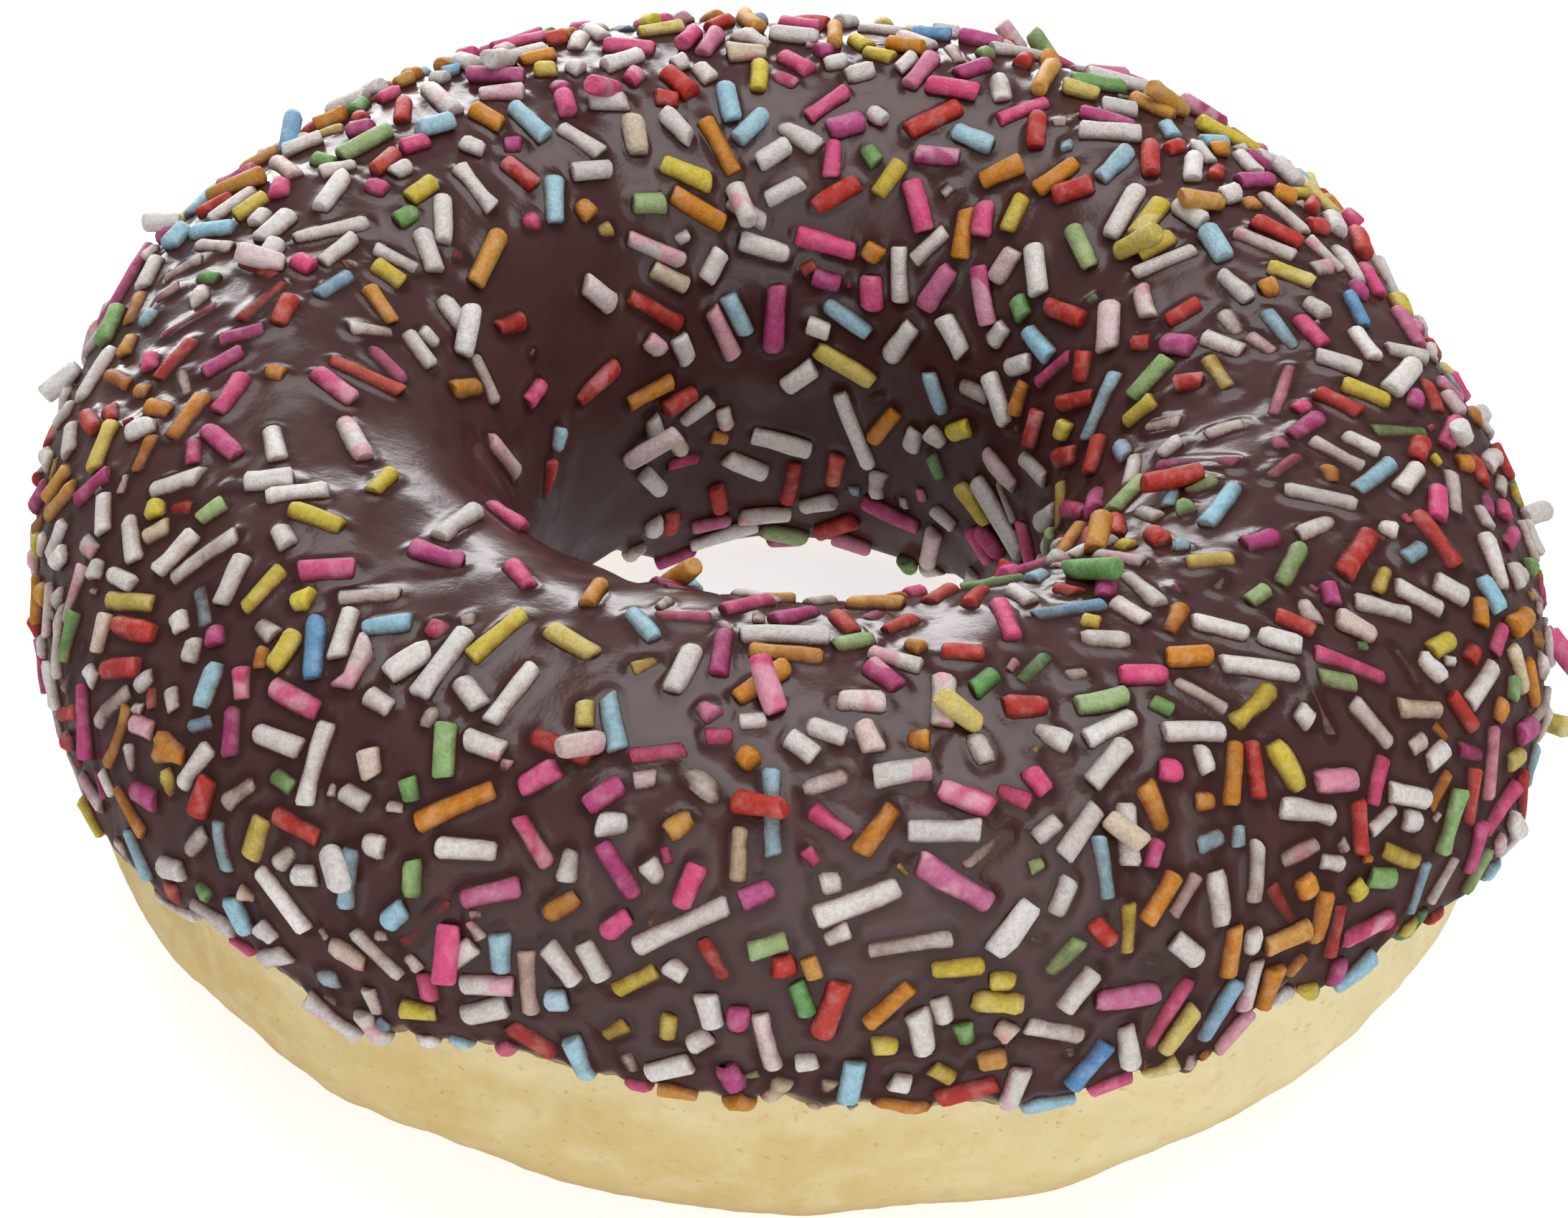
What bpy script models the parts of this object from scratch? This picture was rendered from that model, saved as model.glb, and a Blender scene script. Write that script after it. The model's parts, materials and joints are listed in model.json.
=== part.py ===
"""A ring doughnut with a cap of chocolate frosting, standing on its base, in metres.

The base is at z = 0 and the middle of the ring's box is on the Z axis. The dough is one solid ring, flat
underneath. The frosting is a thin open shell over its top, down past its widest point outside and most of
the way down the hole. Angles round the ring are "turn", from +X towards +Y. Angles round the ring's section
are "lift", from the widest point outside, up over the top and down into the hole.
"""

from math import cos, copysign, pi, radians, sin

import bmesh
import bpy
from mathutils import Vector

# The dough's section.
RING_RADIUS = 0.0313       # middle of the section, from the axis
OUTER_HALF = 0.0147        # from there to the widest point outside
HOLE_HALF = 0.0134         # from there to the wall of the hole
EQUATOR = 0.0200           # height of the widest point
TOP_RISE = 0.0146          # from there to the top
BASE_DEPTH = 0.0215        # from there to the bottom of the round, which the flat base cuts off
UPPER_BLUNTNESS = 2.0      # 2 is an ellipse, and more is squarer
LOWER_BLUNTNESS = 2.2
BELLY = 0.0015             # how far the dough swells below the frosting
BELLY_LIFT = radians(-46)
BELLY_SPREAD = radians(40)

# Unevenness round the ring: how many waves, how high, and the turn in degrees where they peak.
OUTER_WAVES = [(2, 0.00030, -25), (3, 0.00062, -43), (4, 0.00047, -35), (5, 0.00043, -20), (6, 0.00039, -12)]
HOLE_WAVES = [(2, 0.00011, -61), (3, 0.00029, 21)]
TOP_WAVES = [(1, 0.00041, 126), (2, 0.00071, -85), (3, 0.00055, 36)]
BELLY_WAVES = [(1, 0.0003, 215), (3, 0.0004, 215)]

# The frosting.
FROSTING = 0.0012
GAP = 0.0003               # between the frosting and the dough
OUTER_EDGE = -8            # lift of the frosting's edge outside, in degrees
HOLE_EDGE = 228            # and in the hole
# Where the edge outside hangs lower (or, below zero, higher): turn, width and drop, all in degrees.
OUTER_DRIPS = [(214, 10, 8), (235, 14, 4), (308, 9, -6), (335, 10, 2), (30, 16, 5), (75, 12, -4), (120, 18, 5)]
HOLE_EDGE_WAVES = [(2, 3.0, 70), (5, 2.0, 10)]

TURNS = 64                 # steps round the ring
DOUGH_STEPS = 28           # steps round the dough's section
CAP_STEPS = 18             # steps across the frosting


def waves_at(turn, waves):
    return sum(height * cos(count * (turn - radians(peak))) for count, height, peak in waves)


def rounded(value, bluntness):
    return copysign(abs(value) ** (2 / bluntness), value)


def bump(angle, middle, spread):
    """A smooth bump of height 1 that falls to nothing at spread from its middle."""
    away = abs((angle - middle + pi) % (2 * pi) - pi)
    return 0.5 + 0.5 * cos(pi * away / spread) if away < spread else 0.0


def dough_point(turn, lift):
    bluntness = UPPER_BLUNTNESS if sin(lift) > 0 else LOWER_BLUNTNESS
    across = rounded(cos(lift), bluntness)
    up = rounded(sin(lift), bluntness)
    if across > 0:
        half = OUTER_HALF + waves_at(turn, OUTER_WAVES)
    else:
        half = HOLE_HALF + waves_at(turn, HOLE_WAVES)
    rise = TOP_RISE + waves_at(turn, TOP_WAVES) if up > 0 else BASE_DEPTH
    belly = BELLY + waves_at(turn, BELLY_WAVES)
    radius = RING_RADIUS + half * across + belly * bump(lift, BELLY_LIFT, BELLY_SPREAD)
    return Vector((radius * cos(turn), radius * sin(turn), max(0.0, EQUATOR + rise * up)))


def dough_normal(turn, lift):
    step = 1e-3
    along = dough_point(turn + step, lift) - dough_point(turn - step, lift)
    over = dough_point(turn, lift + step) - dough_point(turn, lift - step)
    return along.cross(over).normalized()


def frosting_lift(turn, share):
    """The lift of a point on the cap, where share runs from 0 at the outer edge to 1 at the edge in the hole."""
    drops = (drop * bump(turn, radians(at), radians(width)) for at, width, drop in OUTER_DRIPS)
    outer = OUTER_EDGE - sum(drops)
    inner = HOLE_EDGE + waves_at(turn, HOLE_EDGE_WAVES)
    return radians(outer + (inner - outer) * share)


def frosting_point(turn, share):
    """A point on the underside of the frosting."""
    lift = frosting_lift(turn, share)
    return dough_point(turn, lift) + GAP * dough_normal(turn, lift)


def torus(name, steps):
    """A ring of plain round section, to be shaped. Its faces come in order, round the section and then the ring."""
    bpy.ops.mesh.primitive_torus_add(major_segments=TURNS, minor_segments=steps, major_radius=RING_RADIUS,
                                     minor_radius=OUTER_HALF)
    ring = bpy.context.object
    ring.name = ring.data.name = name
    return ring


def turn_and_step(point, steps):
    """Which step round the section a point of a plain ring is on, and its turn."""
    flat = Vector((point.x, point.y, 0))
    lift = Vector((flat.length - RING_RADIUS, point.z)).angle_signed(Vector((1, 0)))
    step = round(lift / (2 * pi) * steps) % steps
    turn = Vector((point.x, point.y)).angle_signed(Vector((1, 0)))
    return turn, step


def make_dough():
    ring = torus("dough_ring", DOUGH_STEPS)
    for vertex in ring.data.vertices:
        turn, step = turn_and_step(vertex.co, DOUGH_STEPS)
        vertex.co = dough_point(turn, 2 * pi * step / DOUGH_STEPS)
    return ring


def make_frosting():
    """The ring's first steps become the cap, edge to edge, and the faces past them are taken away."""
    cap = torus("chocolate_frosting", CAP_STEPS + 2)
    mesh = bmesh.new()
    mesh.from_mesh(cap.data)
    places = {vertex: turn_and_step(vertex.co, CAP_STEPS + 2) for vertex in mesh.verts}
    spare = [vertex for vertex, (_, step) in places.items() if step > CAP_STEPS]
    for vertex, (turn, step) in places.items():
        vertex.co = frosting_point(turn, min(step / CAP_STEPS, 1))
    bmesh.ops.delete(mesh, geom=spare, context="VERTS")
    mesh.to_mesh(cap.data)
    mesh.free()
    shell = cap.modifiers.new("thickness", "SOLIDIFY")
    shell.thickness = FROSTING
    shell.offset = 1
    return cap


def centre_over_origin(pieces):
    """Slides the pieces so that the middle of their box in X and Y is on the Z axis."""
    bpy.context.view_layer.update()
    corners = [Vector(corner) for piece in pieces for corner in piece.bound_box]
    middle_x = (min(c.x for c in corners) + max(c.x for c in corners)) / 2
    middle_y = (min(c.y for c in corners) + max(c.y for c in corners)) / 2
    for piece in pieces:
        for vertex in piece.data.vertices:
            vertex.co -= Vector((middle_x, middle_y, 0))


def make_material(name, colour, roughness):
    material = bpy.data.materials.new(name)
    material.use_nodes = True
    shader = material.node_tree.nodes["Principled BSDF"]
    shader.inputs["Base Color"].default_value = (*colour, 1)
    shader.inputs["Roughness"].default_value = roughness
    shader.inputs["Metallic"].default_value = 0
    return material


def main():
    for old in list(bpy.data.objects):
        bpy.data.objects.remove(old, do_unlink=True)
    collection = bpy.data.collections.new("sprinkle_frosted_doughnut")
    bpy.context.scene.collection.children.link(collection)

    dough = make_dough()
    frosting = make_frosting()
    centre_over_origin([dough, frosting])
    dough.data.materials.append(make_material("fried_dough", (0.72, 0.55, 0.27), 0.75))
    frosting.data.materials.append(make_material("chocolate_frosting", (0.035, 0.017, 0.012), 0.30))
    for piece in (dough, frosting):
        piece.data.shade_smooth()
        for holder in list(piece.users_collection):
            holder.objects.unlink(piece)
        collection.objects.link(piece)


main()
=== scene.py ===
"""A ring doughnut with chocolate frosting and sugar strands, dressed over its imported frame."""

import json
import math

import bpy
import numpy as np
from mathutils import Euler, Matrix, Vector
from mathutils.bvhtree import BVHTree

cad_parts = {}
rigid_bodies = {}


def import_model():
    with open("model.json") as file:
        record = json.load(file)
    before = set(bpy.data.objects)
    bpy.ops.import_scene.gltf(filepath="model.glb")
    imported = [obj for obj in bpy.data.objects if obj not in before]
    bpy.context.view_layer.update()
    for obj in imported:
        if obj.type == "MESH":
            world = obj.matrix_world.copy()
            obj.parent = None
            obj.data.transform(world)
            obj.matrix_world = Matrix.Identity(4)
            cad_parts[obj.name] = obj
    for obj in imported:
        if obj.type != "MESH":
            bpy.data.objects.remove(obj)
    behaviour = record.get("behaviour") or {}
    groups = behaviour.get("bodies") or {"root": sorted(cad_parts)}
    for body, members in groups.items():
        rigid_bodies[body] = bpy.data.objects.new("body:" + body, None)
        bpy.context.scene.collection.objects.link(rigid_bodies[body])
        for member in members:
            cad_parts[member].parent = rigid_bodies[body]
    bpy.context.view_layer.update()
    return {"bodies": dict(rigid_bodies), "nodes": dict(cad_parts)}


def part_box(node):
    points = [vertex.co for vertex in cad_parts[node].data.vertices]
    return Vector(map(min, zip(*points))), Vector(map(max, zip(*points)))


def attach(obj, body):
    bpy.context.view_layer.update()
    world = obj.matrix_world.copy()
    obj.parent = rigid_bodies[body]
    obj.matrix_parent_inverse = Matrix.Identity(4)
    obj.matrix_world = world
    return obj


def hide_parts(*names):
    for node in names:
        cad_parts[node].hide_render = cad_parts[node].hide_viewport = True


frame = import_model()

MM = 0.001
TURN_ROUND = 2 * math.pi
ROOT = "root" if "root" in frame["bodies"] else next(iter(frame["bodies"]))


# ---------------------------------------------------------------- small tools

def deselect():
    bpy.ops.object.select_all(action="DESELECT")


def pick(piece):
    """Makes one object the only selected one and the active one."""
    deselect()
    piece.select_set(True)
    bpy.context.view_layer.objects.active = piece


def finish_modifiers(piece):
    pick(piece)
    for modifier in list(piece.modifiers):
        bpy.ops.object.modifier_apply(modifier=modifier.name)


def points_of(piece):
    places = np.empty(len(piece.data.vertices) * 3)
    piece.data.vertices.foreach_get("co", places)
    return places.reshape(-1, 3)


def set_points(piece, places):
    piece.data.vertices.foreach_set("co", np.ascontiguousarray(places, dtype=np.float32).ravel())
    piece.data.update()


def give_attribute(piece, name, values):
    """A number at each point of a piece, for its finish to read."""
    layer = piece.data.attributes.new(name, "FLOAT", "POINT")
    layer.data.foreach_set("value", np.ascontiguousarray(values, dtype=np.float32).ravel())


def smooth_step(low, high, x):
    t = np.clip((x - low) / (high - low), 0, 1)
    return t * t * (3 - 2 * t)


def unit(vectors):
    return vectors / np.linalg.norm(vectors, axis=-1, keepdims=True)


def dot(a, b):
    return (a * b).sum(-1)


def ripples(places, wavelength, seed, count=36):
    """Gentle unevenness of about unit height, from waves of about one length that cross in every direction."""
    draw = np.random.default_rng(seed)
    ways = unit(draw.normal(size=(count, 3)))
    ways *= (2 * math.pi / wavelength) * draw.uniform(0.7, 1.35, (count, 1))
    starts = draw.uniform(0, 2 * math.pi, count)
    total = np.zeros(places.shape[:-1])
    for way, start in zip(ways, starts):
        total += np.cos(places @ way + start)
    return total * math.sqrt(2 / count)


# ---------------------------------------------------------------- the form, read from the frame

dough_low, dough_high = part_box("dough_ring")
frosting_low, frosting_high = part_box("chocolate_frosting")
FROSTING_DEPTH = frosting_high.z - dough_high.z

cad_dough = points_of(frame["nodes"]["dough_ring"])
cad_frosting = points_of(frame["nodes"]["chocolate_frosting"])
cad_radii = np.hypot(cad_dough[:, 0], cad_dough[:, 1])
RING_RADIUS = (cad_radii.max() + cad_radii.min()) / 2
SECTION_HEIGHT = dough_high.z / 2

FORM_TURNS, FORM_LIFTS = 360, 180


def rounded_guide(node):
    """A copy of a CAD node, merged and rounded, to measure the form on."""
    guide = frame["nodes"][node].copy()
    guide.data = guide.data.copy()
    guide.name = node + "_guide"
    bpy.context.scene.collection.objects.link(guide)
    guide.parent = None
    pick(guide)
    bpy.ops.object.mode_set(mode="EDIT")
    bpy.ops.mesh.select_all(action="SELECT")
    bpy.ops.mesh.remove_doubles(threshold=1e-6)
    bpy.ops.mesh.tris_convert_to_quads()
    bpy.ops.object.mode_set(mode="OBJECT")
    rounding = guide.modifiers.new("rounding", "SUBSURF")
    rounding.levels = rounding.render_levels = 2
    finish_modifiers(guide)
    return guide


def section_point(turn, lift, reach):
    """The point that lies reach away from the middle of the ring's section, at that turn and lift."""
    radius = RING_RADIUS + reach * np.cos(lift)
    return np.stack([radius * np.cos(turn), radius * np.sin(turn), SECTION_HEIGHT + reach * np.sin(lift)], -1)


def section_way(turn, lift):
    return np.stack([np.cos(turn) * np.cos(lift), np.sin(turn) * np.cos(lift), np.sin(lift)], -1)


def measure_form():
    """How far the dough reaches from the middle of its section, on a grid of turns and lifts."""
    guide = rounded_guide("dough_ring")
    tree = BVHTree.FromObject(guide, bpy.context.evaluated_depsgraph_get())
    turn, lift = np.meshgrid(np.arange(FORM_TURNS) * 2 * math.pi / FORM_TURNS,
                             np.arange(FORM_LIFTS) * 2 * math.pi / FORM_LIFTS, indexing="ij")
    starts = section_point(turn, lift, 0).reshape(-1, 3)
    ways = section_way(turn, lift).reshape(-1, 3)
    reaches = [tree.ray_cast(Vector(start), Vector(way))[3] for start, way in zip(starts, ways)]
    bpy.data.objects.remove(guide, do_unlink=True)
    return np.array(reaches).reshape(FORM_TURNS, FORM_LIFTS)


dough_form = measure_form()


def cubic_weights(t):
    """Catmull-Rom weights of the four grid lines round a place."""
    return np.stack([((2 - t) * t - 1) * t, (3 * t - 5) * t * t + 2, ((4 - 3 * t) * t + 1) * t, (t - 1) * t * t], 0) / 2


def dough_reach(turn, lift):
    """The measured form at any turn and lift."""
    x = np.asarray(turn) / (2 * math.pi) * FORM_TURNS
    y = np.asarray(lift) / (2 * math.pi) * FORM_LIFTS
    column, row = np.floor(x).astype(int), np.floor(y).astype(int)
    across, along = cubic_weights(x - column), cubic_weights(y - row)
    total = np.zeros(np.broadcast(x, y).shape)
    for i in range(4):
        for j in range(4):
            total += across[i] * along[j] * dough_form[(column + i - 1) % FORM_TURNS, (row + j - 1) % FORM_LIFTS]
    return total


def lowest_frosting(turns, outside):
    """The height of the CAD frosting's edge at each turn, outside or in the hole."""
    radii = np.hypot(cad_frosting[:, 0], cad_frosting[:, 1])
    side = cad_frosting[(radii > RING_RADIUS) == outside]
    side_turns = np.arctan2(side[:, 1], side[:, 0])
    heights = []
    for turn in turns:
        away = np.abs((side_turns - turn + math.pi) % (2 * math.pi) - math.pi)
        heights.append(side[away < math.radians(5), 2].min())
    return np.array(heights)


def lift_at_height(turn, height, outside):
    """The lift where the dough's surface is at that height."""
    lift = np.zeros_like(turn) if outside else np.full_like(turn, math.pi)
    for _ in range(6):
        rise = np.arcsin(np.clip((height - SECTION_HEIGHT) / dough_reach(turn, lift), -1, 1))
        lift = rise if outside else math.pi - rise
    return lift


# ---------------------------------------------------------------- skins made from grids

def skin_from(name, places, numbers, closed_round, ways_out=None):
    """A grid primitive whose points are placed turn by turn, closed over the section and, if asked, round the ring."""
    if closed_round:
        places = np.concatenate([places, places[:1]], 0)
        numbers = {key: np.concatenate([values, values[:1]], 0) for key, values in numbers.items()}
    places = np.concatenate([places, places[:, :1]], 1)
    numbers = {key: np.concatenate([values, values[:, :1]], 1) for key, values in numbers.items()}
    turns, steps = places.shape[0] - 1, places.shape[1] - 1
    deselect()
    bpy.ops.mesh.primitive_grid_add(x_subdivisions=steps, y_subdivisions=turns, size=1)
    skin = bpy.context.object
    skin.name = skin.data.name = name
    skin.data.uv_layers[0].name = "OFBake"
    set_points(skin, places.reshape(-1, 3))
    for key, values in numbers.items():
        give_attribute(skin, key, values)
    if ways_out is not None:
        ways_out = np.concatenate([ways_out, ways_out[:, :1]], 1)
        kept = skin.data.attributes.new("ways_out", "FLOAT_VECTOR", "POINT")
        kept.data.foreach_set("vector", np.ascontiguousarray(ways_out, dtype=np.float32).ravel())
    bpy.ops.object.mode_set(mode="EDIT")
    bpy.ops.mesh.select_all(action="SELECT")
    bpy.ops.mesh.remove_doubles(threshold=1e-7)
    if not closed_round:
        bpy.ops.mesh.select_all(action="DESELECT")
        bpy.ops.mesh.select_non_manifold(extend=False, use_wire=False, use_multi_face=False,
                                         use_non_contiguous=False, use_verts=False)
        bpy.ops.mesh.edge_face_add()
        bpy.ops.mesh.quads_convert_to_tris(quad_method="BEAUTY", ngon_method="BEAUTY")
    bpy.ops.mesh.select_all(action="SELECT")
    bpy.ops.mesh.flip_normals()
    bpy.ops.mesh.select_all(action="DESELECT")
    bpy.ops.object.mode_set(mode="OBJECT")
    skin.data.shade_smooth()
    if ways_out is not None:
        kept = skin.data.attributes["ways_out"]
        ways = np.empty(len(skin.data.vertices) * 3, dtype=np.float32)
        kept.data.foreach_get("vector", ways)
        skin.data.attributes.remove(kept)
        skin.data.normals_split_custom_set_from_vertices(ways.reshape(-1, 3).tolist())
    return skin


def normals_of(grid):
    """Outward normals of a grid of points that closes round the ring but not round the section."""
    along = np.roll(grid, -1, 0) - np.roll(grid, 1, 0)
    over = np.gradient(grid, axis=1)
    return unit(np.cross(along, over))


# ---------------------------------------------------------------- dough

DOUGH_TURNS = 720
DOUGH_STEPS = 120


def dough_skin(turn, lift):
    """How far the risen dough reaches, with the waviness of its bare band."""
    reach = dough_reach(turn, lift)
    places = section_point(turn, lift, reach)
    waves = 0.14 * MM * ripples(places, 14 * MM, 11, 20) + 0.035 * MM * ripples(places, 4 * MM, 12, 20)
    waves += 0.014 * MM * ripples(places, 1.3 * MM, 13, 20)
    bare = smooth_step(math.radians(16), math.radians(0), lift)
    return reach + waves * bare


def make_dough():
    turn = np.arange(DOUGH_TURNS)[:, None] * TURN_ROUND / DOUGH_TURNS
    # Most of the steps go to the band that shows outside and to the underside.
    marks = np.radians([-120, -90, -60, 10, 240])
    shares = [0, 0.16, 0.36, 0.86, 1]
    lift = np.interp(np.arange(DOUGH_STEPS) / DOUGH_STEPS, shares, marks)[None, :]
    places = section_point(turn, lift, dough_skin(turn, lift))
    places[..., 2] = np.maximum(places[..., 2], 0)
    return skin_from("dough", places, {}, True)


# ---------------------------------------------------------------- frosting

FROSTING_TURNS = 1296
TURN_STEP = TURN_ROUND / FROSTING_TURNS
CAP_ROWS = 300
RETURN_ROWS = 6
FROSTING_SECTORS = ("right", "back", "left", "front")
FROSTING_START = -FROSTING_TURNS // 8
EDGE_ROWS = 12              # rows of the cap that are crowded against each edge
EDGE_CROWD = 1.2 * MM       # and how far they reach
TAPER = 3.4 * MM            # how far from its edge the frosting is thinner
EDGE_DEPTH = 0.20 * MM
LIP = 0.25 * MM


class Cap:
    """The frosting's surface as a grid of turns and rows, from its outer edge to its edge in the hole."""

    def __init__(self):
        turns = np.arange(FROSTING_TURNS) * TURN_STEP
        coarse = np.arange(120) * TURN_ROUND / 120
        outer = np.interp(turns, coarse, lowest_frosting(coarse, True), period=TURN_ROUND)
        inner = np.interp(turns, coarse, lowest_frosting(coarse, False), period=TURN_ROUND)
        round_ring = np.stack([np.cos(turns), np.sin(turns), 0 * turns], -1) * RING_RADIUS * 1.5
        outer += 0.38 * MM * ripples(round_ring, 12 * MM, 21) + 0.17 * MM * ripples(round_ring, 3.4 * MM, 22)
        outer += 0.07 * MM * ripples(round_ring, 1.2 * MM, 23)
        inner += 0.5 * MM * ripples(round_ring, 14 * MM, 24) + 0.09 * MM * ripples(round_ring, 4 * MM, 25)
        inner = np.maximum(inner, 1.6 * MM)
        self.turn = turns[:, None]
        self.outer_lift = lift_at_height(turns, outer, True)[:, None]
        self.inner_lift = lift_at_height(turns, inner, False)[:, None]
        self.width = SECTION_HEIGHT * 1.06 * (self.inner_lift - self.outer_lift)
        self.share = self.rows()[None, :]
        self.lift = self.outer_lift + (self.inner_lift - self.outer_lift) * self.share
        self.from_edge = np.minimum(self.share, 1 - self.share) * self.width
        self.dough = dough_skin(self.turn, self.lift)
        self.depth = self.plain_depth()
        self.near = np.zeros_like(self.depth)

    def rows(self):
        """Shares of the way across, crowded at both edges."""
        width = SECTION_HEIGHT * 1.06 * math.radians(236)
        crowd = EDGE_CROWD / width
        near = crowd * (np.arange(EDGE_ROWS) / EDGE_ROWS) ** 1.7
        middle = np.linspace(crowd, 1 - crowd, CAP_ROWS - 2 * EDGE_ROWS)
        return np.concatenate([near, middle, 1 - near[::-1]])

    def plain_depth(self):
        """The frosting's depth over the dough, before anything is dropped on it."""
        rise = smooth_step(0, TAPER, self.from_edge) ** 0.8
        lip = np.sqrt(np.clip(1 - (1 - np.clip(self.from_edge / LIP, 0, 1)) ** 2, 0, 1))
        places = section_point(self.turn, self.lift, self.dough + FROSTING_DEPTH)
        swell = 0.13 * MM * ripples(places, 16 * MM, 31) + 0.085 * MM * ripples(places, 8 * MM, 32)
        swell += 0.027 * MM * ripples(places, 4.4 * MM, 33) + 0.005 * MM * ripples(places, 2.2 * MM, 34)
        return EDGE_DEPTH * lip + (FROSTING_DEPTH - EDGE_DEPTH + swell) * rise

    def places(self):
        return section_point(self.turn, self.lift, self.dough + self.depth)

    def locate(self, places):
        """The column, the share of the way across, and the reach of places near the frosting."""
        column = np.arctan2(places[..., 1], places[..., 0]) % TURN_ROUND / TURN_STEP
        away = np.hypot(places[..., 0], places[..., 1]) - RING_RADIUS
        rise = places[..., 2] - SECTION_HEIGHT
        lift = (np.arctan2(rise, away) + math.pi / 2) % TURN_ROUND - math.pi / 2
        nearest = np.rint(column).astype(int) % FROSTING_TURNS
        outer, inner = self.outer_lift[nearest, 0], self.inner_lift[nearest, 0]
        return column, (lift - outer) / (inner - outer), np.hypot(away, rise)

    def row_of(self, share):
        return np.interp(share, self.share[0], np.arange(CAP_ROWS))

    def height_above(self, places):
        """How far places stand out from the frosting."""
        column, share, reach = self.locate(places)
        row = self.row_of(share)
        left, low = np.floor(column).astype(int), np.minimum(np.floor(row).astype(int), CAP_ROWS - 2)
        s, t = column - left, row - low
        surface = self.dough + self.depth
        one, two = left % FROSTING_TURNS, (left + 1) % FROSTING_TURNS
        near = surface[one, low] * (1 - t) + surface[one, low + 1] * t
        far = surface[two, low] * (1 - t) + surface[two, low + 1] * t
        return reach - (near * (1 - s) + far * s)

    def inside_edge(self, places):
        """How far places are from the frosting's nearest edge, less than nothing outside it."""
        column, share, _ = self.locate(places)
        nearest = np.rint(column).astype(int) % FROSTING_TURNS
        return np.minimum(share, 1 - share) * self.width[nearest, 0]


# ---------------------------------------------------------------- sugar strands: where they lie

STRAND_RADIUS = 0.665 * MM
PROUD = 0.28 * MM           # how much further the strands stand out on the far side
STRAND_COUNT = 1270
CRUMB_COUNT = 110
LUMP_COUNT = 16


class Strand:
    """One sugar strand: its middle, its way, its length and its radius, and how it lies."""

    def __init__(self, middle, way, up, length, radius, kind):
        self.middle, self.way, self.up = middle, way, up
        self.length, self.radius, self.kind = length, radius, kind

    def ends(self):
        half = max(self.length / 2 - self.radius * 0.6, 0.05 * MM)
        return self.middle - self.way * half, self.middle + self.way * half


def gap_between(start, end, starts, ends):
    """The shortest distance from one segment to each of many."""
    d1, d2 = end - start, ends - starts
    r = start - starts
    a, e, f = d1 @ d1, dot(d2, d2), dot(d2, r)
    b, c = d2 @ d1, r @ d1
    spread = a * e - b * b
    s = np.clip(np.where(spread > 1e-16, (b * f - c * e) / np.maximum(spread, 1e-16), 0.5), 0, 1)
    t = np.clip((b * s + f) / e, 0, 1)
    s = np.clip((b * t - c) / a, 0, 1)
    return np.linalg.norm(start + s[:, None] * d1 - (starts + t[:, None] * d2), axis=1)


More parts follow.
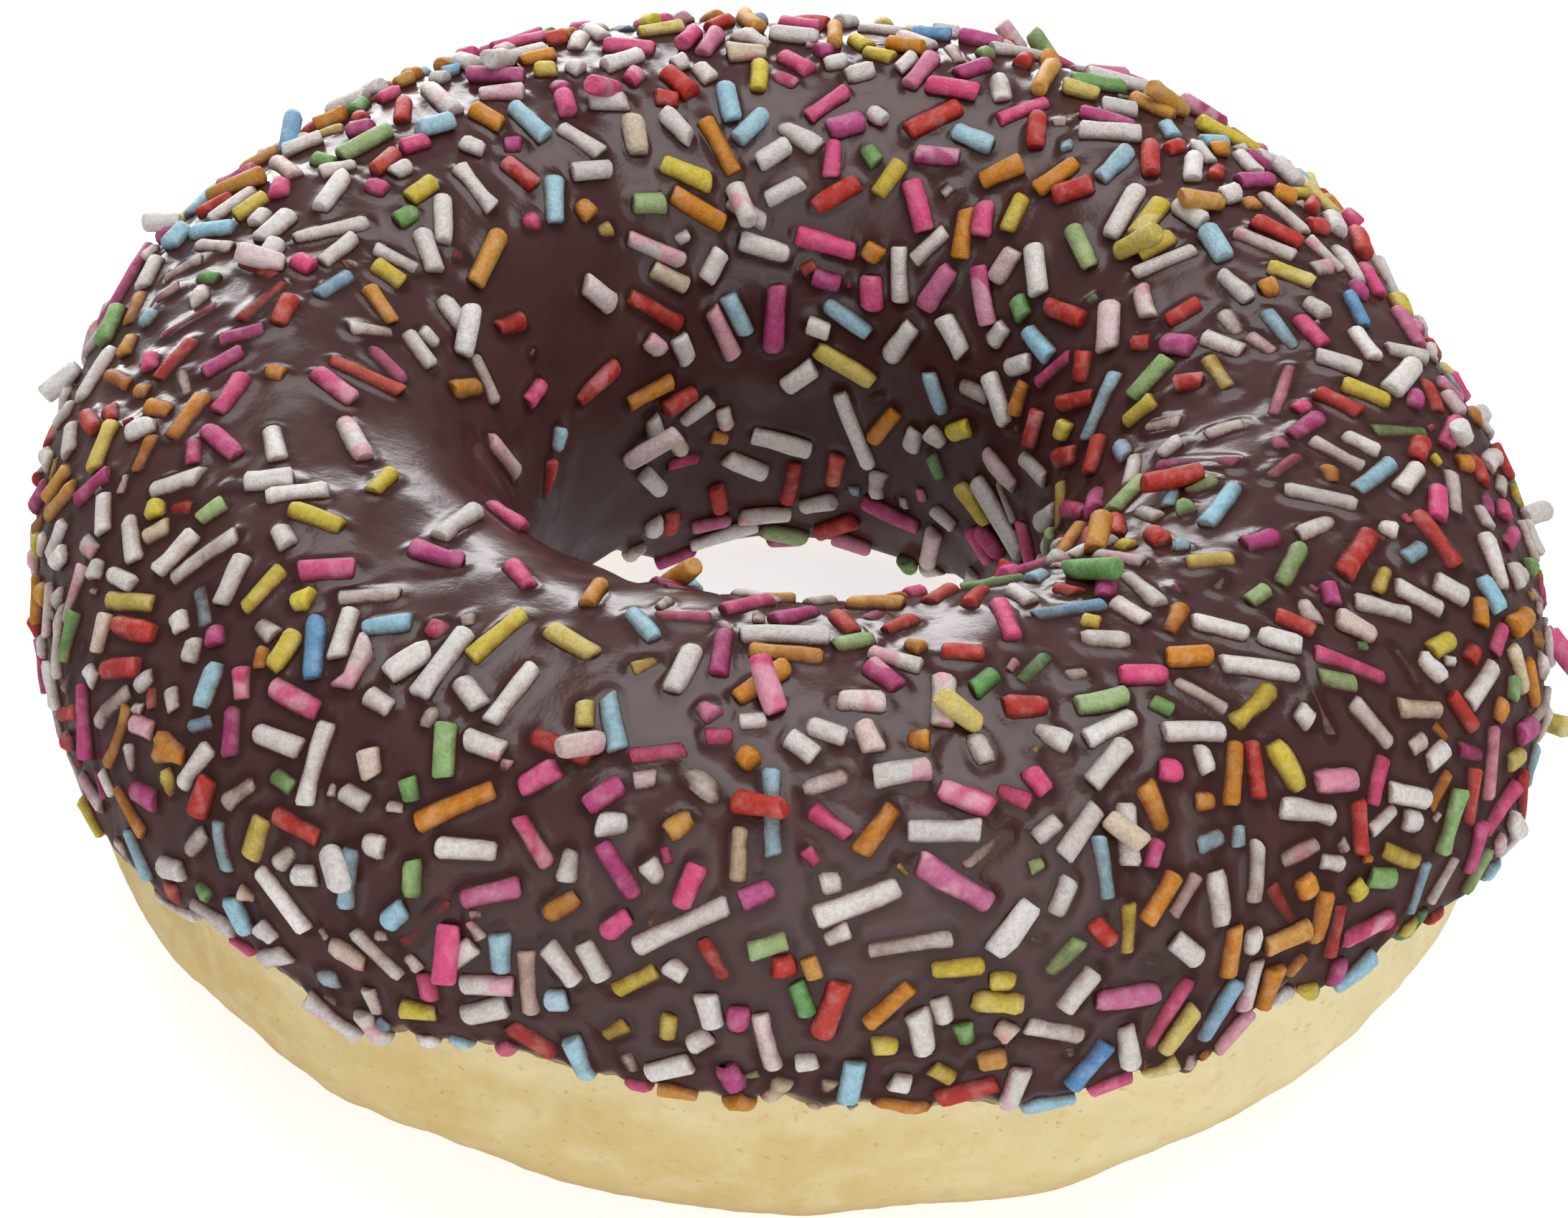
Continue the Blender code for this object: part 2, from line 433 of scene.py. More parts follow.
class Scatter:
    """Drops strands on the frosting one by one, keeping those that lie clear of the rest."""

    def __init__(self, cap, seed):
        self.cap = cap
        self.draw = np.random.default_rng(seed)
        self.places = cap.places()
        self.normals = normals_of(self.places)
        along = np.roll(self.places, -1, 0) - self.places
        over = np.diff(self.places, axis=1, append=self.places[:, -1:])
        area = np.linalg.norm(np.cross(along, over), axis=-1)
        area *= cap.from_edge > 0.5 * MM
        # Fewer strands land in the hole, fewest low down in it and on its left slope, and fewer on the far side.
        in_hole = smooth_step(math.radians(72), math.radians(112), cap.lift)
        low_down = smooth_step(math.radians(140), math.radians(190), cap.lift)
        left_slope = smooth_step(math.radians(48), math.radians(24), np.abs(cap.turn - math.radians(220)))
        left_slope = left_slope * smooth_step(math.radians(66), math.radians(90), cap.lift)
        left_wall = smooth_step(math.radians(70), math.radians(42), np.abs(cap.turn - math.radians(185)))
        left_wall = left_wall * smooth_step(math.radians(105), math.radians(130), cap.lift)
        far_side = smooth_step(math.radians(82), math.radians(34), cap.lift)
        far_side = far_side * smooth_step(-20 * MM, 6 * MM, self.places[..., 1])
        crowd = 1 + 0.26 * np.clip(ripples(self.places, 15 * MM, 41), -1.6, 1.6)
        crowd *= (1 - 0.70 * in_hole) * (1 - 0.55 * low_down) * (1 - 0.77 * far_side)
        crowd *= (1 - 0.94 * left_slope) * (1 - 0.90 * left_wall)
        self.chances = np.cumsum((area * crowd).ravel())
        self.strands = []
        room = STRAND_COUNT + CRUMB_COUNT + 400
        self.starts, self.ends, self.radii = np.zeros((room, 3)), np.zeros((room, 3)), np.zeros(room)

    def spot(self):
        index = np.searchsorted(self.chances, self.draw.uniform(0, self.chances[-1]))
        column, row = divmod(int(index), self.places.shape[1])
        return self.places[column, row], self.normals[column, row]

    def length(self):
        kind = self.draw.uniform()
        if kind < 0.11:
            return self.draw.uniform(1.1, 1.8) * MM
        if kind < 0.86:
            return np.clip(self.draw.normal(3.1, 0.62), 1.6, 4.6) * MM
        if kind < 0.985:
            return self.draw.uniform(4.0, 5.0) * MM
        return self.draw.uniform(5.2, 6.6) * MM

    def clear(self, strand, squeeze, besides=-1):
        count = len(self.strands)
        if count == 0:
            return True
        gaps = gap_between(*strand.ends(), self.starts[:count], self.ends[:count])
        gaps -= (self.radii[:count] + strand.radius) * squeeze
        if besides >= 0:
            gaps[besides] = 1
        return gaps.min() > 0

    def keep(self, strand):
        count = len(self.strands)
        self.starts[count], self.ends[count] = strand.ends()
        self.radii[count] = strand.radius
        self.strands.append(strand)

    def lay_flat(self, length, radius, sunk, squeeze, kind):
        """A strand pressed into the frosting, about half way."""
        point, normal = self.spot()
        side = unit(np.cross(normal, self.draw.normal(size=3)))
        half = max(length / 2 - radius * 0.5, 0.1 * MM)
        ends = np.array([point - side * half, point + side * half])
        if self.cap.inside_edge(ends).min() < self.draw.choice([1.15, 0.1], p=[0.93, 0.07]) * MM:
            return
        if ends[:, 2].min() < 1.5 * MM:
            return
        if kind == "flat":
            sunk += PROUD * smooth_step(0, 22 * MM, point[1])
        over = self.cap.height_above(ends)
        way = unit(side * 2 * half - normal * (over[1] - over[0] + self.draw.normal(0, 0.10) * MM))
        middle = point + normal * (sunk - over.sum() / 3)
        strand = Strand(middle, way, normal, length, radius, kind)
        if self.clear(strand, squeeze):
            self.keep(strand)

    def lay_one(self):
        radius = STRAND_RADIUS * np.clip(self.draw.normal(1, 0.09), 0.78, 1.2)
        sunk = np.clip(self.draw.normal(0.06, 0.12), -0.2, 0.40) * MM
        if self.draw.uniform() < 0.06:
            sunk = self.draw.uniform(-0.42, -0.12) * MM
        self.lay_flat(self.length(), radius, sunk, 0.94, "flat")

    def lay_crumb(self):
        radius = self.draw.uniform(0.24, 0.46) * MM
        length = radius * self.draw.uniform(2.0, 3.0)
        self.lay_flat(length, radius, self.draw.uniform(-0.05, 0.2) * MM, 0.8, "crumb")

    def lay_lump(self):
        """A few strands stuck together and glazed over."""
        radius = self.draw.uniform(0.62, 0.86) * MM
        length = radius * self.draw.uniform(2.2, 3.6)
        self.lay_flat(length, radius, self.draw.uniform(-0.25, 0.05) * MM, 0.86, "lump")

    def lay_across(self):
        """A strand that leans over one already there, with its other end in the frosting."""
        below = int(self.draw.integers(len(self.strands)))
        under = self.strands[below]
        if under.kind != "flat" or under.length < 2.2 * MM:
            return
        radius = STRAND_RADIUS * self.draw.uniform(0.92, 1.05)
        length = self.draw.uniform(2.4, 4.4) * MM
        turn = math.radians(self.draw.uniform(30, 90)) * self.draw.choice([-1, 1])
        up = under.up
        way = unit(under.way * math.cos(turn) + np.cross(up, under.way) * math.sin(turn))
        way = unit(way - up * (way @ up))
        crossing = under.middle + under.way * under.length * self.draw.uniform(-0.32, 0.32)
        top = crossing + up * (under.radius + radius) * 0.96
        reach = length * self.draw.uniform(0.60, 0.85)
        foot = top + way * reach
        head = top - way * (length - reach)
        if self.cap.inside_edge(np.array([foot, head])).min() < 0.8 * MM or foot[2] < 2 * MM:
            return
        fall = self.cap.height_above(np.array([foot]))[0] - 0.25 * MM
        if fall < 0 or fall > 0.75 * reach:
            return
        way = unit(way * reach - up * fall)
        middle = top + way * (reach - length / 2)
        strand = Strand(middle, way, up, length, radius, "across")
        if self.clear(strand, 0.88, below):
            self.keep(strand)

    def drop_all(self):
        while len(self.strands) < LUMP_COUNT:
            self.lay_lump()
        for _ in range(60000):
            if len(self.strands) >= STRAND_COUNT:
                break
            self.lay_one()
        goal = len(self.strands) * 1.032
        while len(self.strands) < goal:
            self.lay_across()
        goal = len(self.strands) + CRUMB_COUNT
        while len(self.strands) < goal:
            self.lay_crumb()
        return self.strands


# ---------------------------------------------------------------- frosting round the strands

CLIMB = 0.15 * MM           # how far the frosting climbs a strand's side
CLIMB_FADE = 0.23 * MM      # and how quickly it dies away
HEAVE = 0.035 * MM          # how far a pressed strand lifts the frosting round it
HEAVE_FADE = 0.9 * MM
FILM = 0.07 * MM            # the frosting left over a strand that has sunk


def settle_frosting(cap, strands):
    """Raises the frosting where it wets the strands' sides, and over those that have sunk."""
    places = cap.places()
    normals = normals_of(places)
    raised, heaved = np.zeros(places.shape[:2]), np.zeros(places.shape[:2])
    row_step = cap.width.mean() / CAP_ROWS
    for strand in strands:
        reach = strand.length / 2 + 2.6 * MM
        column, share, _ = cap.locate(strand.middle)
        away = math.hypot(strand.middle[0], strand.middle[1])
        half_columns = int(reach / (max(away - reach, 10 * MM) * TURN_STEP)) + 1
        half_rows = int(reach / row_step) + 2
        columns = (np.arange(-half_columns, half_columns + 1) + int(column)) % FROSTING_TURNS
        middle_row = int(cap.row_of(share))
        low, high = max(middle_row - half_rows, 0), min(middle_row + half_rows, CAP_ROWS)
        block = np.ix_(columns, np.arange(low, high))
        spots, ups = places[block], normals[block]
        start, end = strand.ends()
        way = end - start
        along = np.clip(((spots - start) @ way) / (way @ way), 0, 1)
        off = start + along[..., None] * way - spots
        height = dot(off, ups)
        side = np.linalg.norm(off - height[..., None] * ups, axis=-1)
        radius = strand.radius
        half_width = np.sqrt(np.clip(radius ** 2 - height ** 2, 0, None))
        outside = np.maximum(side - half_width, 0)
        touching = smooth_step(1.15 * radius, 0.75 * radius, height)
        climb = np.minimum(CLIMB, 0.62 * np.maximum(height + radius, 0))
        fillet = climb * touching * np.exp(-(outside / CLIMB_FADE) ** 2 / 2)
        heaved[block] += HEAVE * touching * np.exp(-(outside / HEAVE_FADE) ** 2 / 2)
        top = height + radius + FILM
        mound = np.where(height < -0.78 * radius, top * np.exp(-(side / (1.15 * radius)) ** 2), 0)
        fillet = np.where(height < -1.6 * radius, 0, np.maximum(fillet, mound))
        raised[block] = np.cbrt(raised[block] ** 3 + fillet ** 3)
    raised = (np.roll(raised, 1, 0) + 2 * raised + np.roll(raised, -1, 0)) / 4
    raised[:, 1:-1] = (raised[:, :-2] + 2 * raised[:, 1:-1] + raised[:, 2:]) / 4
    held = smooth_step(0, 0.8 * MM, cap.from_edge)
    # How far the frosting climbs round the strands, which the finish uses for painted shade round them.
    cap.near = np.clip(raised / CLIMB, 0, 1)
    heaved = 2 * HEAVE * np.tanh(heaved / (2 * HEAVE))
    cap.depth = cap.depth + (raised + heaved) * held


def make_frosting(cap):
    """The frosting's skin, in sectors that meet edge to edge, each closed where it meets the next."""
    sunk = np.clip(LIP - cap.from_edge, 0, LIP)
    top = section_point(cap.turn, cap.lift, cap.dough + cap.depth - sunk)
    back = np.linspace(1, 0, RETURN_ROWS + 2)[1:-1][None, :]
    lift = cap.outer_lift + (cap.inner_lift - cap.outer_lift) * back
    under = section_point(cap.turn, lift, dough_reach(cap.turn, lift) - 0.8 * MM)
    places = np.concatenate([top, under], 1)
    ups = np.concatenate([normals_of(top), -section_way(cap.turn, lift)], 1)
    none = np.zeros((FROSTING_TURNS, RETURN_ROWS))
    near = np.concatenate([cap.near, none], 1)
    from_edge = np.concatenate([np.clip(cap.from_edge / (5 * MM), 0, 1), none], 1)
    pieces = []
    span = FROSTING_TURNS // len(FROSTING_SECTORS)
    for index, side in enumerate(FROSTING_SECTORS):
        columns = (np.arange(span + 1) + index * span + FROSTING_START) % FROSTING_TURNS
        numbers = {"near_strand": near[columns], "from_edge": from_edge[columns]}
        pieces.append(skin_from("frosting_" + side, places[columns], numbers, False, ups[columns]))
    return pieces


# ---------------------------------------------------------------- sugar strands: their shape

STRAND_SIDES = 12
STRAND_SPANS = 3
BEVEL = 0.2
COLOURS = ("white", "pink", "red", "yellow", "orange", "green", "blue")
SHARES = (0.455, 0.176, 0.118, 0.096, 0.118, 0.070, 0.112)


def make_pattern_strand():
    """One strand of unit radius and unit half length, cut square with softened ends."""
    deselect()
    bpy.ops.mesh.primitive_cylinder_add(vertices=STRAND_SIDES, radius=1, depth=2, end_fill_type="NGON")
    strand = bpy.context.object
    strand.data.uv_layers[0].name = "OFBake"
    bpy.ops.object.mode_set(mode="EDIT")
    for span in range(1, STRAND_SPANS):
        bpy.ops.mesh.select_all(action="SELECT")
        bpy.ops.mesh.bisect(plane_co=(0, 0, -1 + 2 * span / STRAND_SPANS), plane_no=(0, 0, 1))
    bpy.ops.mesh.select_all(action="DESELECT")
    bpy.ops.object.mode_set(mode="OBJECT")
    for face in strand.data.polygons:
        face.select = abs(face.normal.z) > 0.99
    bpy.ops.object.mode_set(mode="EDIT")
    bpy.ops.mesh.inset(thickness=0.28, depth=0)
    bpy.ops.mesh.select_all(action="DESELECT")
    bpy.ops.object.mode_set(mode="OBJECT")
    for edge in strand.data.edges:
        ends = [strand.data.vertices[i].co for i in edge.vertices]
        edge.select = all(abs(end.z) > 0.999 and math.hypot(end.x, end.y) > 0.9 for end in ends)
    bpy.ops.object.mode_set(mode="EDIT")
    bpy.ops.mesh.select_mode(type="EDGE")
    bpy.ops.mesh.bevel(offset=BEVEL, segments=1, affect="EDGES")
    bpy.ops.mesh.select_mode(type="VERT")
    bpy.ops.object.mode_set(mode="OBJECT")
    strand.data.shade_smooth()
    return strand


def strand_points(pattern, strand, draw):
    """The pattern's points on one strand: stretched, bent a little, and as uneven as pressed sugar is."""
    half, radius = strand.length / 2, strand.radius
    z = pattern[:, 2]
    level = 1 - BEVEL
    tip = np.clip(np.abs(z) - level, 0, BEVEL) / BEVEL          # the pattern's last part carries the softened end
    softness = min(draw.choice([0.2, 0.34, 0.6], p=[0.5, 0.32, 0.18]) * radius, half * 0.5)
    along = np.sign(z) * np.where(tip > 0, half - softness + tip * softness, np.abs(z) / level * (half - softness))
    across = pattern[:, :2] * radius
    turn = np.arctan2(pattern[:, 1], pattern[:, 0])
    rough = draw.choice([0.015, 0.03, 0.06], p=[0.6, 0.3, 0.1])
    if strand.kind != "flat" and strand.kind != "across":
        rough = 0.10
    seed = draw.uniform(0, TURN_ROUND, 6)
    uneven = 1 + rough * np.sin(3 * turn + seed[0] + along / MM * 1.3) + rough * np.sin(2 * turn + seed[1] - along / MM * 2.1)
    uneven += rough * np.sin(seed[2] + along / MM * 1.9) + draw.normal(0, rough * 0.5, len(z))
    taper = 1 + draw.normal(0, 0.035) * along / half
    across = across * (uneven * taper)[:, None]
    cut = draw.normal(0, 0.12, (2, 2))                          # each end's cut is a little slanted
    if draw.uniform() < 0.05:
        cut[0] = draw.normal(0, 0.45, 2)
    slant = np.where(z[:, None] > 0, cut[0], cut[1])
    along = along + dot(slant, across) * np.clip(np.abs(along) / half, 0, 1) ** 2
    bow = draw.normal(0, 0.008) / MM if draw.uniform() < 0.9 else draw.normal(0, 0.045) / MM
    bow = bow * (along ** 2 - half ** 2 / 3)
    side = unit(np.cross(strand.up, strand.way))
    up = np.cross(strand.way, side)
    spin = draw.uniform(0, TURN_ROUND)
    x = across[:, 0] * math.cos(spin) - across[:, 1] * math.sin(spin) + bow
    y = across[:, 0] * math.sin(spin) + across[:, 1] * math.cos(spin)
    return strand.middle + along[:, None] * strand.way + x[:, None] * side + y[:, None] * up


def make_strands(cap, strands, seed):
    """Copies the pattern for every strand and joins the copies into one piece for each colour."""
    draw = np.random.default_rng(seed)
    pattern = make_pattern_strand()
    shape = points_of(pattern)
    uvs = np.empty(len(pattern.data.loops) * 2)
    pattern.data.uv_layers[0].data.foreach_get("uv", uvs)
    uvs = uvs.reshape(-1, 2)
    colours = draw.choice(len(COLOURS), size=len(strands), p=np.array(SHARES) / sum(SHARES))
    pieces = {}
    for number, colour in enumerate(COLOURS):
        chosen = [strand for strand, picked in zip(strands, colours) if picked == number]
        cells = math.ceil(math.sqrt(len(chosen)))
        copies = []
        for index, strand in enumerate(chosen):
            copy = pattern.copy()
            copy.data = pattern.data.copy()
            bpy.context.scene.collection.objects.link(copy)
            places = strand_points(shape, strand, draw)
            set_points(copy, places)
            give_attribute(copy, "tone", np.full(len(shape), draw.uniform()))
            give_attribute(copy, "shade", np.full(len(shape), draw.uniform()))
            give_attribute(copy, "above", cap.height_above(places) / MM)
            cell = np.array([index % cells, index // cells])
            copy.data.uv_layers[0].data.foreach_set("uv", ((uvs * 0.94 + 0.03 + cell) / cells).ravel())
            copies.append(copy)
        deselect()
        for copy in copies:
            copy.select_set(True)
        bpy.context.view_layer.objects.active = copies[0]
        bpy.ops.object.join()
        piece = bpy.context.object
        piece.name = piece.data.name = "sprinkles_" + colour
        pieces[colour] = piece
    bpy.data.objects.remove(pattern, do_unlink=True)
    return pieces


# ---------------------------------------------------------------- finishes

class Value:
    """A shader socket that can be used in sums."""

    def __init__(self, finish, socket):
        self.finish, self.socket = finish, socket

    def math(self, operation, *inputs):
        return self.finish.node("Math", {"operation": operation}, *inputs)

    def __add__(self, other):
        return self.math("ADD", self, other)

    __radd__ = __add__

    def __sub__(self, other):
        return self.math("SUBTRACT", self, other)

    def __rsub__(self, other):
        return self.math("SUBTRACT", other, self)

    def __mul__(self, other):
        return self.math("MULTIPLY", self, other)

    __rmul__ = __mul__


class Finish:
    """A material with a Principled shader, built up node by node."""

    def __init__(self, name, **plain):
        self.material = bpy.data.materials.new(name)
        self.material.use_nodes = True
        self.tree = self.material.node_tree
        self.shader = self.tree.nodes["Principled BSDF"]
        for socket, value in plain.items():
            self.shader.inputs[socket.replace("_", " ")].default_value = value

    def node(self, kind, settings=None, *inputs, out=0, **named):
        """Adds a node of a kind, with its settings, and returns one of its outputs."""
        node = self.tree.nodes.new("ShaderNode" + kind)
        for setting, value in (settings or {}).items():
            if setting == "stops":
                ramp = node.color_ramp
                while len(ramp.elements) < len(value):
                    ramp.elements.new(0.5)
                for element, (position, colour) in zip(ramp.elements, value):
                    element.position = position
                    element.color = (*colour, 1) if isinstance(colour, tuple) else (colour, colour, colour, 1)
            else:
                setattr(node, setting, value)
        pairs = list(zip([s for s in node.inputs if s.enabled], inputs))
        pairs += [(next(s for s in node.inputs if s.enabled and s.name == name.replace("_", " ")), value)
                  for name, value in named.items()]
        for socket, value in pairs:
            if isinstance(value, Value):
                self.tree.links.new(value.socket, socket)
            elif value is not None:
                if socket.type == "RGBA" and len(value) == 3:
                    value = (*value, 1)
                socket.default_value = value
        outputs = [s for s in node.outputs if s.enabled]
        found = outputs[out] if isinstance(out, int) else next(s for s in outputs if s.name == out)
        return Value(self, found)

    def place(self):
        return self.node("TexCoord", out="Object")

    def noise(self, size, detail=2.0, roughness=0.5):
        """A noise of about unit contrast whose lumps are about size across."""
        return self.node("TexNoise", {}, Vector=self.place(), Scale=1 / size, Detail=detail, Roughness=roughness, out="Fac")

    def attribute(self, name):
        return self.node("Attribute", {"attribute_name": name}, out="Fac")

    def ramp(self, value, low, high, start=0.0, end=1.0):
        """A smooth rise from start to end as a value goes from low to high."""
        return self.node("MapRange", {"interpolation_type": "SMOOTHSTEP"}, value, low, high, start, end)

    def mix(self, factor, first, second, blend="MIX"):
        return self.node("Mix", {"data_type": "RGBA", "blend_type": blend}, factor, first, second)

    def bump(self, height, distance, strength=1.0, normal=None):
        return self.node("Bump", {}, Strength=strength, Distance=distance, Height=height, Normal=normal)

    def drive(self, socket, value):
        self.tree.links.new(value.socket, self.shader.inputs[socket])


def dough_finish():
    finish = Finish("fried_dough", Roughness=0.70, Specular_IOR_Level=0.35)
    height = finish.node("SeparateXYZ", {}, finish.place(), out="Z")
    blotch = finish.noise(9 * MM, 4, 0.6)
    patch = finish.noise(3.2 * MM, 4, 0.6)
    fine = finish.noise(1.1 * MM, 4, 0.65)
    colour = finish.mix(finish.ramp(blotch, 0.40, 0.62), (0.615, 0.474, 0.208), (0.575, 0.414, 0.155))
    colour = finish.mix(finish.ramp(patch, 0.40, 0.68, 0, 0.55), colour, (0.670, 0.575, 0.325))
    pale = finish.ramp(height + (patch - 0.5) * (3 * MM), 12.5 * MM, 16 * MM, 0, 0.45)
    colour = finish.mix(pale, colour, (0.730, 0.645, 0.400))
    # Painted light: the dough is made lighter towards +X, the side that more light falls on.
    side = finish.node("SeparateXYZ", {}, finish.place(), out="X")
    colour = finish.mix(finish.ramp(side + (blotch - 0.5) * (20 * MM), 0, 40 * MM, 0, 0.65), colour, (0.825, 0.735, 0.440))
    low = finish.ramp(height + (blotch - 0.5) * (7 * MM) + (patch - 0.5) * (3 * MM), 8.5 * MM, 1.5 * MM, 0, 0.85)
    browned = finish.mix(finish.ramp(patch, 0.36, 0.64), (0.560, 0.385, 0.135), (0.480, 0.310, 0.100))
    colour = finish.mix(low, colour, browned)
    colour = finish.mix(finish.ramp(fine, 0.52, 0.74, 0, 0.38), colour, (0.560, 0.360, 0.120))
    speck = finish.noise(0.55 * MM, 2)
    colour = finish.mix(finish.ramp(speck, 0.71, 0.78, 0, 0.35), colour, (0.420, 0.230, 0.070))
    finish.drive("Base Color", colour)
    grain = finish.noise(0.4 * MM, 3, 0.6)
    crust = finish.bump(fine + patch * 0.5, 0.06 * MM)
    finish.drive("Normal", finish.bump(grain - finish.ramp(speck, 0.68, 0.76), 0.05 * MM, normal=crust))
    return finish.material


def frosting_finish():
    finish = Finish("chocolate_frosting", Specular_IOR_Level=0.42)
    blotch = finish.noise(6 * MM, 3)
    edge = finish.attribute("from_edge")
    near = finish.attribute("near_strand")
    colour = finish.mix(finish.ramp(blotch, 0.3, 0.7), (0.054, 0.020, 0.019), (0.068, 0.026, 0.025))
    # Painted shade: the frosting is darkened where it climbs round the strands, standing in for the shadow and dark
    # reflection in the fillets there.
    colour = finish.mix(finish.ramp(near, 0.1, 0.8, 0, 0.85), colour, (0.030, 0.008, 0.005))
    thin = finish.ramp(finish.noise(2.6 * MM, 3, 0.6), 0.44, 0.60)
    colour = finish.mix(finish.ramp(edge, 0.42, 0.05, 0, 0.75) * thin, colour, (0.200, 0.055, 0.035))
    worn = finish.ramp(edge + (finish.noise(5 * MM, 5, 0.7) - 0.5) * 1.5, 0.17, 0)
    colour = finish.mix(worn * 0.8, colour, (0.280, 0.120, 0.065))
    colour = finish.mix(finish.ramp(edge, 0.12, 0.03, 0, 0.85), colour, (0.330, 0.150, 0.070))
    finish.drive("Base Color", colour)
    finish.drive("Roughness", finish.ramp(finish.noise(3 * MM, 4), 0.3, 0.7, 0.20, 0.29) + worn * 0.3)
    soft = finish.bump(finish.noise(1.1 * MM, 3), 0.03 * MM)
    finish.drive("Normal", finish.bump(finish.noise(0.28 * MM, 2), 0.010 * MM, normal=soft))
    return finish.material


STRAND_TONES = {
    "white": ((0, (0.77, 0.74, 0.71)), (0.45, (0.70, 0.67, 0.65)), (0.75, (0.60, 0.57, 0.55)), (0.88, (0.84, 0.82, 0.80)),
              (0.94, (0.68, 0.50, 0.52)), (1.0, (0.68, 0.60, 0.38))),
    "pink": ((0, (0.70, 0.07, 0.21)), (0.5, (0.64, 0.09, 0.24)), (0.62, (0.45, 0.05, 0.20)), (0.88, (0.50, 0.08, 0.26)),
             (0.96, (0.70, 0.27, 0.38)), (1.0, (0.72, 0.40, 0.46))),
    "red": ((0, (0.54, 0.036, 0.022)), (0.7, (0.47, 0.028, 0.020)), (1.0, (0.58, 0.09, 0.06))),
    "yellow": ((0, (0.67, 0.56, 0.05)), (0.6, (0.60, 0.47, 0.05)), (1.0, (0.64, 0.53, 0.16))),
    "orange": ((0, (0.63, 0.24, 0.012)), (0.6, (0.58, 0.23, 0.016)), (1.0, (0.58, 0.31, 0.06))),
    "green": ((0, (0.12, 0.33, 0.09)), (0.5, (0.20, 0.37, 0.12)), (1.0, (0.34, 0.46, 0.20))),
    "blue": ((0, (0.29, 0.56, 0.70)), (0.82, (0.38, 0.60, 0.70)), (0.93, (0.13, 0.33, 0.56)), (1.0, (0.09, 0.26, 0.56))),
}


STAINS = {
    "white": (0.66, 0.24, 0.34), "pink": (0.72, 0.42, 0.50), "red": (0.62, 0.22, 0.24), "yellow": (0.70, 0.62, 0.30),
    "orange": (0.56, 0.34, 0.06), "green": (0.42, 0.50, 0.22), "blue": (0.46, 0.56, 0.66),
}


def strand_finish(colour):
    finish = Finish("sugar_strand_" + colour, Roughness=0.55, Specular_IOR_Level=0.35)
    tone, shade, above = finish.attribute("tone"), finish.attribute("shade"), finish.attribute("above")
    grain = finish.noise(0.15 * MM, 2, 0.6)
    mottle = finish.noise(0.9 * MM, 2)
    base = finish.node("ValToRGB", {"stops": STRAND_TONES[colour]}, tone)
    base = finish.mix(finish.ramp(mottle, 0.44, 0.70, 0, 0.12), base, (0.80, 0.76, 0.72))
    base = finish.mix(finish.ramp(grain, 0.62, 0.38, 0, 0.16) + shade * 0.18, base, (0.30, 0.22, 0.18), "MULTIPLY")
    stain = finish.ramp(shade, 0.86, 0.88) * finish.ramp(finish.noise(2.2 * MM, 1), 0.50, 0.60, 0, 0.6)
    base = finish.mix(stain, base, STAINS[colour])
    crystal = finish.noise(0.36 * MM, 3, 0.6)
    base = finish.mix(finish.ramp(crystal, 0.56, 0.40, 0, 0.30), base, (0.62, 0.50, 0.46), "MULTIPLY")
    # Partly painted shade: the strand's lower sides are darkened towards the frosting, for the chocolate film on them
    # and for the shade where they meet it.
    film_and_shade = finish.ramp(above + (mottle - 0.5) * 0.3, 0.60, 0.05, 0, 0.84)
    base = finish.mix(film_and_shade, base, (0.34, 0.20, 0.15), "MULTIPLY")
    wet = finish.ramp(above + (mottle - 0.5) * 0.22 + (grain - 0.5) * 0.1, 0.17, 0.0, 0, 0.95)
    base = finish.mix(wet, base, (0.065, 0.022, 0.016))
    finish.drive("Base Color", base)
    finish.drive("Normal", finish.bump(grain, 0.05 * MM, normal=finish.bump(crystal, 0.07 * MM)))
    return finish.material


# ---------------------------------------------------------------- stage

VIEW_LIFT = math.radians(39.66)
VIEW_DISTANCE = 0.2412
VIEW_ROLL = math.radians(3.4)
LENS = 85.8
AIM_DROP = math.radians(0.71)


def make_camera():
    target = Vector((0, 0, 0.018))
    place = target + Vector((0, -math.cos(VIEW_LIFT), math.sin(VIEW_LIFT))) * VIEW_DISTANCE
    camera = bpy.data.objects.new("camera", bpy.data.cameras.new("camera"))
    camera.data.lens = LENS
    camera.data.sensor_width = 36
    camera.data.clip_start = 0.01
    camera.location = place
    turn = Euler((math.pi / 2 - VIEW_LIFT - AIM_DROP, 0, 0)).to_matrix() @ Euler((0, 0, VIEW_ROLL)).to_matrix()
    camera.rotation_euler = turn.to_euler()
    bpy.context.scene.collection.objects.link(camera)
    bpy.context.scene.camera = camera


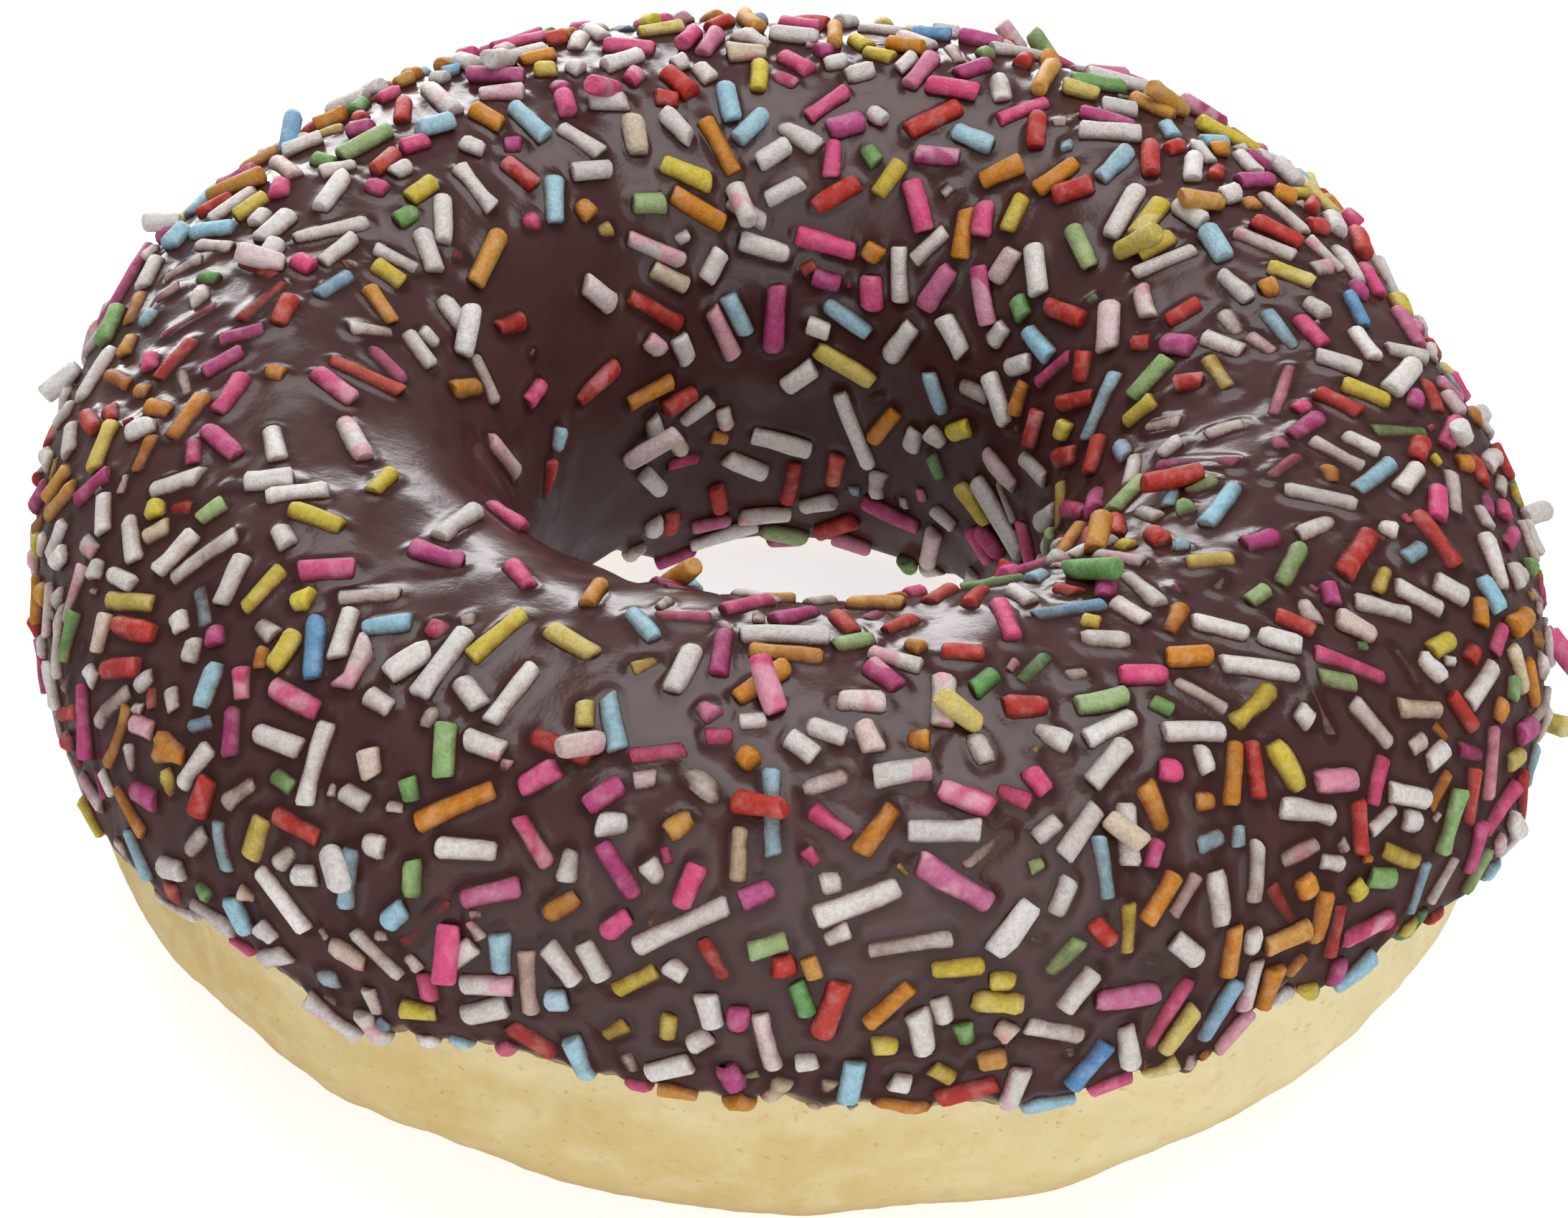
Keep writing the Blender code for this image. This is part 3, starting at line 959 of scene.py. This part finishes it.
def make_light(name, place, aim, width, height, power, colour=(1, 1, 1)):
    light = bpy.data.objects.new(name, bpy.data.lights.new(name, "AREA"))
    light.data.shape = "RECTANGLE"
    light.data.size, light.data.size_y = width, height
    light.data.energy = power
    light.data.color = colour
    light.location = place
    light.rotation_euler = (Vector(aim) - Vector(place)).to_track_quat("-Z", "Y").to_euler()
    bpy.context.scene.collection.objects.link(light)


def make_stage():
    deselect()
    bpy.ops.mesh.primitive_plane_add(size=3)
    floor = bpy.context.object
    floor.name = "floor"
    finish = Finish("white_sweep", Base_Color=(0.50, 0.50, 0.50, 1), Roughness=0.9,
                    Emission_Color=(1, 1, 1, 1), Emission_Strength=0.72)
    floor.data.materials.append(finish.material)
    floor.visible_glossy = False         # the frosting doesn't mirror the floor
    make_light("back_wall", (-0.205, 0.60, 0.10), (-0.205, 0, 0.10), 0.59, 0.36, 4.4)
    make_light("top_softbox", (0.04, 0.12, 0.70), (0, 0, 0.02), 0.72, 0.56, 3.9)
    make_light("front_softbox", (0.14, -0.52, 0.46), (0, 0, 0.02), 0.8, 0.5, 1.6)
    make_light("front_panel", (0.04, -0.62, -0.02), (0.04, 0, -0.02), 1.5, 0.7, 2.6)
    world = bpy.data.worlds.new("studio")
    bpy.context.scene.world = world
    world.use_nodes = True
    world.node_tree.nodes["Background"].inputs["Color"].default_value = (1, 1, 1, 1)
    world.node_tree.nodes["Background"].inputs["Strength"].default_value = 0.26
    bpy.context.scene.view_settings.view_transform = "Standard"


# ---------------------------------------------------------------- putting it together

make_camera()
make_stage()

dough = make_dough()
dough.data.materials.append(dough_finish())
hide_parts("dough_ring")
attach(dough, ROOT)

cap = Cap()
strands = Scatter(cap, 7).drop_all()
settle_frosting(cap, strands)
frosting = frosting_finish()
for piece in make_frosting(cap):
    piece.data.materials.append(frosting)
    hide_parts("chocolate_frosting")
    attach(piece, ROOT)

for colour, piece in make_strands(cap, strands, 8).items():
    piece.data.materials.append(strand_finish(colour))
    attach(piece, ROOT)
